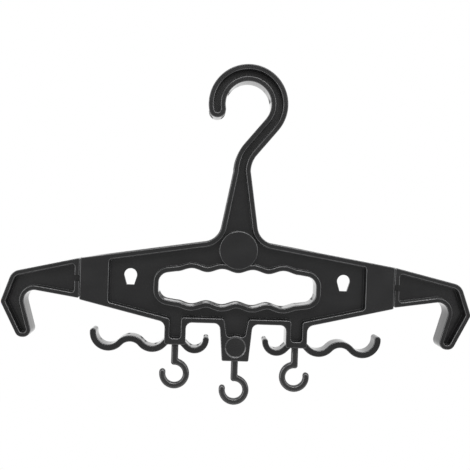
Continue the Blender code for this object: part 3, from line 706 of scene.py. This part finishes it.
def pad_edge():
    """The pocket's foot where the round pad swells up into it: the pad's arc between two fillets."""
    rise = PAD_DROP - POCKET_BLOCK_DROP
    reach = PAD_RADIUS + PAD_FILLET
    x_fillet = math.sqrt(reach ** 2 - (rise + PAD_FILLET) ** 2)
    lean = math.asin(x_fillet / reach)
    right = math.pi / 2 - lean
    crown = arc_path(0.0, -PAD_DROP, PAD_RADIUS, math.pi - right, right, -1)
    fillet = arc_path(x_fillet, PAD_FILLET - POCKET_BLOCK_DROP, PAD_FILLET, right + math.pi, 1.5 * math.pi, 1)
    ends = [(x, z) for x, z, _, _ in fillet[1:]]
    return mirrored(ends) + [(x, z) for x, z, _, _ in crown] + ends


def slot_outline():
    """The hand slot: finger waves along both long edges and round corners at both ends."""
    span = WAVE_PERIODS * WAVE_PITCH
    total = WAVE_PERIODS * WAVE_STEPS
    upper = []
    for step in range(total + 1):
        x = span / 2 - span * step / total
        upper.append((x, SLOT_HALF_HEIGHT - WAVE_HEIGHT * math.cos(2 * math.pi * x / WAVE_PITCH), 0.0))
    left_end = [
        (-SLOT_HALF, SLOT_END_HALF_HEIGHT, SLOT_END_ROUND),
        (-SLOT_HALF, -SLOT_END_HALF_HEIGHT, SLOT_END_ROUND),
    ]
    lower = [(-x, -z, 0.0) for x, z, _ in upper]
    right_end = [(-x, -z, radius) for x, z, radius in left_end]
    return shifted(rounded(upper + left_end + lower + right_end), 0.0, -SLOT_DROP)


def keyhole_outline():
    crown = arc_path(0.0, 0.0, KEYHOLE_RADIUS, KEYHOLE_SHOULDER_ANGLE, math.pi - KEYHOLE_SHOULDER_ANGLE, 1)
    foot = [(-KEYHOLE_FOOT_HALF, -KEYHOLE_FOOT_DROP), (KEYHOLE_FOOT_HALF, -KEYHOLE_FOOT_DROP)]
    return [(x, z) for x, z, _, _ in crown] + foot


def wavy_outline():
    """The double hook outside each branch: a low arc, a crest and a second low arc up to the tip."""
    reach = WAVY_RADIUS + CREST_RADIUS
    x_first = BRANCH_OUTER + WAVY_START
    z_low = WAVY_RISE - BRANCH_DROP
    z_crest = z_low - math.sqrt(reach ** 2 - (WAVY_PITCH / 2) ** 2)
    lean = math.acos(WAVY_PITCH / 2 / reach)
    first = arc_path(x_first, z_low, WAVY_RADIUS, WAVY_ROOT_ANGLE, -lean, 1)
    crest = arc_path(x_first + WAVY_PITCH / 2, z_crest, CREST_RADIUS, math.pi - lean, lean, -1)
    last = arc_path(x_first + WAVY_PITCH, z_low, WAVY_RADIUS, lean - math.pi, WAVY_TIP_ANGLE, 1)
    return band(root_run(first[0]) + first + crest[1:] + last[1:], WAVY_HALF)


def curl_outline():
    """The small hook inside each branch: one arc from the branch's foot to a tip that points up."""
    x_centre = BRANCH_INNER - CURL_START
    z_centre = CURL_RISE - BRANCH_DROP
    arc = arc_path(x_centre, z_centre, CURL_RADIUS, CURL_ROOT_ANGLE, CURL_TIP_ANGLE, -1)
    return band(root_run(arc[0]) + arc, CURL_HALF)


def root_run(start):
    """A point before the start of a path, so that its bar runs straight on into the branch."""
    x, z, x_normal, z_normal = start
    return [(x + z_normal * ROOT_RUN, z - x_normal * ROOT_RUN, x_normal, z_normal)]


# Pieces

def finish_piece(piece, body, node, slot, extra_roughness=0.0):
    """Give a piece its normals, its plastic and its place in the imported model."""
    moulded_normals(piece.data)
    piece.data.materials.append(satin_plastic(slot, extra_roughness))
    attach(piece, body)
    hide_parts(node)


def make_body():
    slot = slot_outline()
    island = (offset_path(slot, RIM_WIDTH), [slot])
    keyholes = [shifted(keyhole_outline(), side * KEYHOLE_OFFSET, -KEYHOLE_DROP) for side in (-1, 1)]
    mesh = moulding(body_outline(), BODY_DEPTH, RIM_EDGE, [(pocket_outline(), [island], keyholes)])
    body = make_object("body_moulding", mesh, location=(0.0, 0.0, -RAIL_HEIGHT))

    disc = footed_disc(DISC_RADIUS, BODY_DEPTH + 2 * DISC_RISE, DISC_EDGE)
    joined = [make_object("disc_boss", disc, place(0.0, 0.0))]
    for name, outline in (("wavy_hook", wavy_outline()), ("curled_hook", curl_outline())):
        for side, loop in (("left", mirrored(outline)), ("right", outline)):
            hook = moulding(loop, SIDE_HOOK_DEPTH, SIDE_HOOK_EDGE)
            joined.append(make_object(side + "_" + name, hook, place(0.0, 0.0)))
    boolean(body, "UNION", joined)

    cut = [make_object("dish", dish_cutter(), place(0.0, PAD_DROP, -BODY_DEPTH / 2))]
    for name, side, _ in SWIVELS:
        x, housing_drop = swivel_place(side)
        cut.append(make_object(name + "_bore", swivel_bore(), place(x, housing_drop)))
    for name, side in (("left_sleeve_bore", -1), ("right_sleeve_bore", 1)):
        x_low, x_high = sorted((side * SLEEVE_START, side * (WING_HALF + OVERRUN)))
        half = SLEEVE_HALF_DEPTH
        bore = block(x_low, x_high, -half, half, -SLEEVE_FOOT_DROP, -SLEEVE_TOP_DROP)
        cut.append(make_object(name, bore, place(0.0, 0.0)))
    boolean(body, "DIFFERENCE", cut)
    finish_piece(body, "hanger", "hanger_body", "body_plastic")


def place(x, drop, y=0.0):
    """A place in the frame, from its offset and its drop below the disc's centre."""
    return (x, y, -RAIL_HEIGHT - drop)


def dish_cutter():
    """The shallow round dish in the front of the middle block, whose side is a soft S."""
    profile = []
    for step in range(DISH_STEPS + 1):
        share = step / DISH_STEPS
        radius = DISH_FLOOR_RADIUS + (DISH_RADIUS - DISH_FLOOR_RADIUS) * share
        profile.append((radius, -DISH_DEPTH * (1 + math.cos(math.pi * share)) / 2))
    cutter = turned(profile + [(DISH_RADIUS, OVERRUN)], sides=2 * ROUND_SIDES)
    for vertex in cutter.verts:
        vertex.co.y, vertex.co.z = -vertex.co.z, vertex.co.y
    return cutter


def swivel_place(side):
    """A swivel hook's axis, and how far its housing's underside is below the disc."""
    return side * BRANCH_MIDDLE, BRANCH_DROP if side else BLOCK_DROP


def swivel_bore():
    """A mouth for the spigot under a wider chamber for its head, from the housing's underside up."""
    mouth = SPIGOT_RADIUS + SWIVEL_CLEARANCE
    chamber = HEAD_RADIUS + SWIVEL_CLEARANCE
    return turned([(mouth, -OVERRUN), (mouth, SWIVEL_LIP), (chamber, SWIVEL_LIP), (chamber, CHAMBER_TOP)])


def arm_outlines():
    """The right arm's outline and its pocket, which keeps the rim's width all round."""
    tip_z = -MOUTH_TOP_DROP - TIP_FALL
    corners = [
        (ARM_START, -ARM_FOOT_DROP, ARM_ROOT_ROUND),
        (ARM_START + CROOK_REACH, CROOK_RISE - ARM_FOOT_DROP, CROOK_ROUND),
        (ARM_START + TIP_INNER_REACH, tip_z, TIP_ROUND),
        (ARM_START + TIP_OUTER_REACH, tip_z, TIP_ROUND),
        (ARM_START + KNEE_REACH, -MOUTH_TOP_DROP - KNEE_FALL, KNEE_ROUND),
        (ARM_START + SHOULDER_REACH, -MOUTH_TOP_DROP - SHOULDER_FALL, SHOULDER_ROUND),
        (ARM_START, -MOUTH_TOP_DROP, ARM_ROOT_ROUND),
    ]
    places = offset_path([(x, z) for x, z, _ in corners], -ARM_RIM)
    rounds = (ARM_POCKET_ROUND, CROOK_ROUND + ARM_RIM, TIP_ROUND - ARM_RIM, TIP_ROUND - ARM_RIM,
              ARM_POCKET_ROUND, SHOULDER_ROUND - ARM_RIM, ARM_POCKET_ROUND)
    pocket = [(x, z, radius) for (x, z), radius in zip(places, rounds)]
    inner_x = ARM_START + ARM_FLANGE
    for index in (0, -1):
        pocket[index] = (inner_x, pocket[index][1], pocket[index][2])
    return rounded(corners), rounded(pocket)


def tongue_mesh():
    """The right arm's plug: a ribbed box section with a tapered nose, that fills the sleeve."""
    root = ARM_START + ARM_FLANGE / 2
    nose = SLEEVE_START + TONGUE_END_CLEARANCE
    top = -SLEEVE_TOP_DROP - PIECE_GAP
    foot = -SLEEVE_FOOT_DROP + PIECE_GAP
    outline = [
        (nose, foot + TONGUE_LEAD),
        (nose + TONGUE_LEAD, foot),
        (root, foot),
        (root, top),
        (nose + TONGUE_LEAD, top),
        (nose, top - TONGUE_LEAD),
    ]
    first = nose + TONGUE_WALL
    last = ARM_START - TONGUE_WALL
    middle = (first + last - TONGUE_WALL) / 2
    cells = []
    for low, high in ((first, middle), (middle + TONGUE_WALL, last)):
        cells.append(([(low, foot + TONGUE_WALL), (high, foot + TONGUE_WALL),
                       (high, top - TONGUE_WALL), (low, top - TONGUE_WALL)], [], []))
    return moulding(outline, 2 * (SLEEVE_HALF_DEPTH - PIECE_GAP), TONGUE_EDGE, cells)


def make_arm(name, side):
    outline, pocket = arm_outlines()
    mesh = moulding(outline, ARM_DEPTH, RIM_EDGE, [(pocket, [], [])])
    flip(mesh, side)
    arm = make_object(name + "_moulding", mesh, place(0.0, 0.0))
    tongue = tongue_mesh()
    flip(tongue, side)
    boolean(arm, "UNION", [make_object(name + "_tongue", tongue, place(0.0, 0.0))])
    notches = []
    for face in (-1, 1):
        y_low, y_high = sorted((face * (ARM_DEPTH / 2 - NOTCH_DEPTH), face * (ARM_DEPTH / 2 + OVERRUN)))
        x_low, x_high = sorted((side * (ARM_START - PIECE_GAP), side * (ARM_START + ARM_FLANGE + OVERRUN)))
        z_low = -NOTCH_MIDDLE_DROP - NOTCH_HEIGHT / 2
        notch = block(x_low, x_high, y_low, y_high, z_low, z_low + NOTCH_HEIGHT)
        notches.append(make_object(name + ("_front" if face < 0 else "_back"), notch, place(0.0, 0.0)))
    boolean(arm, "DIFFERENCE", notches)
    finish_piece(arm, name + "_body", name, "arm_plastic")


def flip(mesh, side):
    """Turn a right-hand mesh into a left-hand one where the side is -1."""
    for vertex in mesh.verts:
        vertex.co.x *= side


def swivel_loop():
    """The outline of a swivel hook that opens to the left, from its collar down."""
    centre = -SWIVEL_RING_DROP
    outer = SWIVEL_RING_RADIUS + SWIVEL_RING_HALF
    inner = SWIVEL_RING_RADIUS - SWIVEL_RING_HALF
    throat_x = SWIVEL_STEM_HALF + SWIVEL_THROAT_ROUND
    ring_start = math.acos(throat_x / (outer + SWIVEL_THROAT_ROUND))
    throat_z = centre + (outer + SWIVEL_THROAT_ROUND) * math.sin(ring_start)
    throat = arc_path(throat_x, throat_z, SWIVEL_THROAT_ROUND, math.pi, math.pi + ring_start, 1)
    outer_arc = arc_path(0.0, centre, outer, ring_start, SWIVEL_TIP_ANGLE, -1)
    inner_arc = arc_path(0.0, centre, inner, SWIVEL_TIP_ANGLE, SWIVEL_INNER_START, 1)
    tip = arc_path(0.0, centre, SWIVEL_RING_RADIUS, ring_start, SWIVEL_TIP_ANGLE, -1)
    corners = [(x, z, 0.0) for x, z, _, _ in throat + outer_arc[1:]]
    corners += [(x, z, 0.0) for x, z in reversed(round_end(tip, SWIVEL_RING_HALF))]
    corners += [(x, z, 0.0) for x, z, _, _ in inner_arc]
    corners += [
        (-SWIVEL_STEM_HALF, centre + SWIVEL_HEEL_RISE, SWIVEL_HEEL_ROUND),
        (-SWIVEL_STEM_HALF, -PIECE_GAP, 0.0),
        (SWIVEL_STEM_HALF, -PIECE_GAP, 0.0),
    ]
    return list(reversed(rounded(corners)))


def make_swivel(name, side, opens):
    x, housing_drop = swivel_place(side)
    mesh = moulding(swivel_loop(), SWIVEL_DEPTH, SWIVEL_EDGE)
    flip(mesh, -opens)
    hook = make_object(name.replace("_hook", "_moulding"), mesh, place(x, housing_drop))
    head_foot = SWIVEL_LIP + PIECE_GAP
    head_top = head_foot + HEAD_HEIGHT
    spigot = turned([
        (SPIGOT_RADIUS, -PIECE_GAP - SPIGOT_ROOT),
        (SPIGOT_RADIUS, head_foot),
        (HEAD_RADIUS, head_foot),
        (HEAD_RADIUS, head_foot + HEAD_RIM),
        (HEAD_TOP_RADIUS, head_top),
    ])
    boolean(hook, "UNION", [make_object(name + "_spigot", spigot, place(x, housing_drop))])
    slit = block(-HEAD_SLIT / 2, HEAD_SLIT / 2, -HEAD_RADIUS - OVERRUN, HEAD_RADIUS + OVERRUN,
                 HEAD_SLIT_FOOT, head_top + OVERRUN)
    boolean(hook, "DIFFERENCE", [make_object(name + "_slit", slit, place(x, housing_drop))])
    finish_piece(hook, name.replace("swivel_hook", "hook_body"), name, "hook_plastic", HOOK_ROUGHNESS)


# Node trees

def feed(tree, socket, value):
    """Link a socket to another node's socket, or set it to a plain value."""
    if isinstance(value, bpy.types.NodeSocket):
        tree.links.new(value, socket)
    else:
        socket.default_value = value


def combine(tree, operation, first, second=0.0):
    node = tree.nodes.new("ShaderNodeMath")
    node.operation = operation
    feed(tree, node.inputs[0], first)
    feed(tree, node.inputs[1], second)
    return node.outputs["Value"]


def remap(tree, source, reach, levels, curve="LINEAR"):
    """A value that runs from one level to another as its source crosses a reach."""
    ramp = tree.nodes.new("ShaderNodeMapRange")
    ramp.interpolation_type = curve
    ramp.inputs["From Min"].default_value, ramp.inputs["From Max"].default_value = reach
    ramp.inputs["To Min"].default_value, ramp.inputs["To Max"].default_value = levels
    feed(tree, ramp.inputs["Value"], source)
    return ramp.outputs["Result"]


def blend_colours(tree, share, first, second):
    node = tree.nodes.new("ShaderNodeMix")
    node.data_type = "RGBA"
    feed(tree, node.inputs["Factor"], share)
    feed(tree, node.inputs["A"], first)
    feed(tree, node.inputs["B"], second)
    return node.outputs["Result"]


def blend_shaders(tree, share, first, second):
    node = tree.nodes.new("ShaderNodeMixShader")
    feed(tree, node.inputs["Fac"], share)
    feed(tree, node.inputs[1], first)
    feed(tree, node.inputs[2], second)
    return node.outputs["Shader"]


def coordinate(tree, kind):
    return tree.nodes.new("ShaderNodeTexCoord").outputs[kind]


def axis_parts(tree, vector):
    """The X, Y and Z outputs of a vector."""
    split = tree.nodes.new("ShaderNodeSeparateXYZ")
    feed(tree, split.inputs["Vector"], vector)
    return split.outputs


def noise(tree, scale, detail, stretch=(1.0, 1.0, 1.0)):
    mapping = tree.nodes.new("ShaderNodeMapping")
    feed(tree, mapping.inputs["Scale"], stretch)
    feed(tree, mapping.inputs["Vector"], coordinate(tree, "Object"))
    texture = tree.nodes.new("ShaderNodeTexNoise")
    feed(tree, texture.inputs["Scale"], scale)
    feed(tree, texture.inputs["Detail"], detail)
    feed(tree, texture.inputs["Vector"], mapping.outputs["Vector"])
    return texture.outputs["Fac"]


def bump(tree, height, depth, strength):
    node = tree.nodes.new("ShaderNodeBump")
    feed(tree, node.inputs["Strength"], strength)
    feed(tree, node.inputs["Distance"], depth)
    feed(tree, node.inputs["Height"], height)
    return node


# Material

def satin_plastic(name, extra_roughness):
    """Black plastic: fine grain, faint flow marks, walls more polished than faces, and edge rounds painted
    lighter, partly as wear and mostly as a painted highlight.
    """
    material = bpy.data.materials.new(name)
    material.use_nodes = True
    tree = material.node_tree
    shader = tree.nodes["Principled BSDF"]
    shader.inputs["Metallic"].default_value = 0.0
    shader.inputs["IOR"].default_value = PLASTIC_IOR
    flow = noise(tree, FLOW_SCALE, FLOW_DETAIL, FLOW_STRETCH)
    grain = noise(tree, GRAIN_SCALE, GRAIN_DETAIL)
    smudge = noise(tree, SMUDGE_SCALE, SMUDGE_DETAIL)

    facing = combine(tree, "ABSOLUTE", axis_parts(tree, coordinate(tree, "Normal"))["Y"])
    walls = remap(tree, facing, FACE_SHARE, (1.0, 0.0))
    rounds = combine(tree, "MULTIPLY", remap(tree, facing, ROUND_SHARE, (0.0, 1.0)), walls)
    # Painted highlight: the edge rounds are painted much lighter, partly as wear and mostly to stand in for
    # light caught on them
    edge_highlight_and_wear = combine(tree, "MULTIPLY", rounds, remap(tree, smudge, NOISE_REACH, EDGE_HIGHLIGHT_AND_WEAR_LEVELS))
    tint = blend_colours(tree, remap(tree, flow, NOISE_REACH, (0.0, 1.0)), PLASTIC_DARK, PLASTIC_LIGHT)
    feed(tree, shader.inputs["Base Color"], blend_colours(tree, edge_highlight_and_wear, tint, PLASTIC_EDGE_HIGHLIGHT_AND_WEAR))

    smear_levels = (ROUGHNESS_LOW + extra_roughness, ROUGHNESS_HIGH + extra_roughness)
    smear = remap(tree, smudge, NOISE_REACH, smear_levels)
    speckle = remap(tree, grain, NOISE_REACH, (-GRAIN_ROUGHNESS, GRAIN_ROUGHNESS))
    rough = combine(tree, "ADD", smear, speckle)
    polish = combine(tree, "MULTIPLY", walls, WALL_POLISH)
    feed(tree, shader.inputs["Roughness"], combine(tree, "SUBTRACT", rough, polish))

    grain_bump = bump(tree, grain, GRAIN_DEPTH, remap(tree, facing, GRAIN_SHARE, (POLISHED_GRAIN, 1.0)))
    feed(tree, grain_bump.inputs["Normal"], bump(tree, flow, FLOW_DEPTH, 1.0).outputs["Normal"])
    feed(tree, shader.inputs["Normal"], grain_bump.outputs["Normal"])
    return material


# Studio

def make_world():
    """White to the camera, softer to diffuse light, and to gloss a room that is brightest behind."""
    world = bpy.data.worlds.new("studio")
    world.use_nodes = True
    bpy.context.scene.world = world
    tree = world.node_tree
    tree.nodes.clear()
    x, y, z = axis_parts(tree, coordinate(tree, "Generated"))
    front, side, back = ROOM_LEVELS
    smooth = "SMOOTHSTEP"
    room = combine(tree, "MAXIMUM",
                   remap(tree, y, ROOM_TURNS[0], (front, side), smooth),
                   remap(tree, y, ROOM_TURNS[1], (side, back), smooth))
    horizon = combine(tree, "MAXIMUM",
                      remap(tree, z, HORIZON_TURNS[0], (1.0, HORIZON_LEVEL), smooth),
                      remap(tree, z, HORIZON_TURNS[1], (HORIZON_LEVEL, 1.0), smooth))
    beyond = remap(tree, combine(tree, "MULTIPLY", x, x), HORIZON_END, (HORIZON_LEVEL, 1.0), smooth)
    ahead = remap(tree, y, ROOM_TURNS[1], (1.0, 0.0), smooth)
    horizon = combine(tree, "MAXIMUM", combine(tree, "MAXIMUM", horizon, beyond), ahead)

    soft = background(tree, AMBIENT_LEVEL)
    white = background(tree, 1.0)
    gloss = background(tree, combine(tree, "MULTIPLY", room, horizon))
    rays = tree.nodes.new("ShaderNodeLightPath").outputs
    mirrored_ray = combine(tree, "MAXIMUM", rays["Is Glossy Ray"], rays["Is Transmission Ray"])
    seen = blend_shaders(tree, rays["Is Camera Ray"], soft, white)
    output = tree.nodes.new("ShaderNodeOutputWorld")
    feed(tree, output.inputs["Surface"], blend_shaders(tree, mirrored_ray, seen, gloss))


def background(tree, strength):
    node = tree.nodes.new("ShaderNodeBackground")
    feed(tree, node.inputs["Color"], WHITE)
    feed(tree, node.inputs["Strength"], strength)
    return node.outputs["Background"]


def make_lamp(name, offset, size, radiance, gloss_alone):
    """A soft box that points at the middle of the hanger and isn't seen by the camera."""
    lamp = bpy.data.lights.new(name, "AREA")
    lamp.shape = "RECTANGLE"
    lamp.size, lamp.size_y = size
    lamp.energy = radiance * math.pi * lamp.size * lamp.size_y
    made = bpy.data.objects.new(name, lamp)
    bpy.context.scene.collection.objects.link(made)
    middle = Vector((0.0, 0.0, -RAIL_HEIGHT))
    made.location = middle + Vector(offset)
    made.rotation_euler = (-Vector(offset)).to_track_quat("-Z", "Y").to_euler()
    made.visible_camera = False
    made.visible_diffuse = not gloss_alone


def make_floor():
    """A pale floor far enough below the hooks that the photograph's view ends above it."""
    mesh = bmesh.new()
    bmesh.ops.create_circle(mesh, cap_ends=True, segments=FLOOR_SIDES, radius=FLOOR_RADIUS)
    floor = make_object("floor", mesh, (0.0, 0.0, cad_box[0][2] - FLOOR_FALL))
    material = bpy.data.materials.new("floor")
    material.use_nodes = True
    tree = material.node_tree
    shader = tree.nodes["Principled BSDF"]
    shader.inputs["Base Color"].default_value = FLOOR_COLOUR
    shader.inputs["Roughness"].default_value = FLOOR_ROUGHNESS
    distance = tree.nodes.new("ShaderNodeVectorMath")
    distance.operation = "LENGTH"
    feed(tree, distance.inputs[0], coordinate(tree, "Object"))
    fade = remap(tree, distance.outputs["Value"], (FLOOR_FADE_SHARE * FLOOR_RADIUS, FLOOR_RADIUS), (0.0, 1.0))
    white = tree.nodes.new("ShaderNodeEmission")
    white.inputs["Strength"].default_value = 1.0
    surface = blend_shaders(tree, fade, shader.outputs["BSDF"], white.outputs["Emission"])
    feed(tree, tree.nodes["Material Output"].inputs["Surface"], surface)
    floor.data.materials.append(material)


def make_camera():
    camera = bpy.data.cameras.new("camera")
    made = bpy.data.objects.new("camera", camera)
    bpy.context.scene.collection.objects.link(made)
    turn = (Matrix.Rotation(CAMERA_YAW, 4, "Z") @ Matrix.Rotation(CAMERA_PITCH, 4, "X")
            @ Matrix.Rotation(CAMERA_ROLL, 4, "Y") @ Matrix.Rotation(math.pi / 2, 4, "X"))
    made.matrix_world = Matrix.Translation(CAMERA_PLACE) @ turn
    camera.sensor_width = SENSOR_WIDTH
    camera.lens = SENSOR_WIDTH * FOCAL_PIXELS / FRAME_PIXELS
    camera.shift_x = SHIFT_PIXELS[0] / FRAME_PIXELS
    camera.shift_y = SHIFT_PIXELS[1] / FRAME_PIXELS
    bpy.context.scene.camera = made


def main():
    make_body()
    make_arm("left_arm", -1)
    make_arm("right_arm", 1)
    for name, side, opens in SWIVELS:
        make_swivel(name, side, opens)
    make_floor()
    make_world()
    for lamp in LAMPS:
        make_lamp(*lamp)
    make_camera()
    bpy.context.scene.view_settings.view_transform = "Standard"


main()
